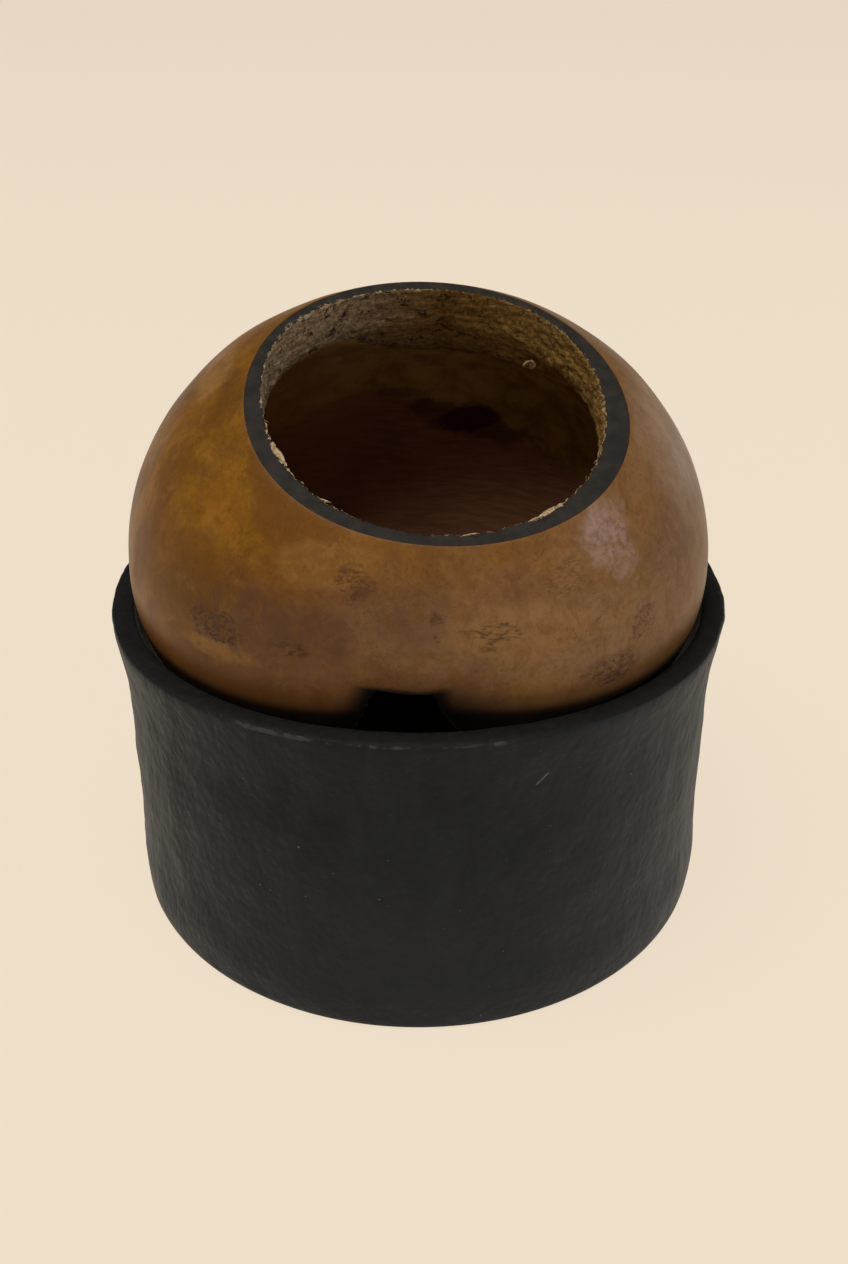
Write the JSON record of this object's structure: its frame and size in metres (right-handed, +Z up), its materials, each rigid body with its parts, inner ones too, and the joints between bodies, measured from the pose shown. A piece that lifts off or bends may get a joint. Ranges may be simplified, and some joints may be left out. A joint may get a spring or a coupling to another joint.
{
  "type": "mate gourd cup in a leather band",
  "caption": "Thick-walled natural gourd cup with a slanted open mouth, standing in a tall leather band.",
  "frame": {"origin": "middle of the leather band's foot, on the surface it stands on", "axes": "+Z up, -Y towards the low side of the mouth, +X to the right seen from that side"},
  "size_m": [0.1036, 0.1036, 0.1025],
  "materials": {
    "gourd_shell": "satin varnish",
    "black_leather": "matte"
  },
  "bodies": {
    "root": {"gourd": "gourd_shell", "leather_band": "black_leather"}
  },
  "joints": []
}
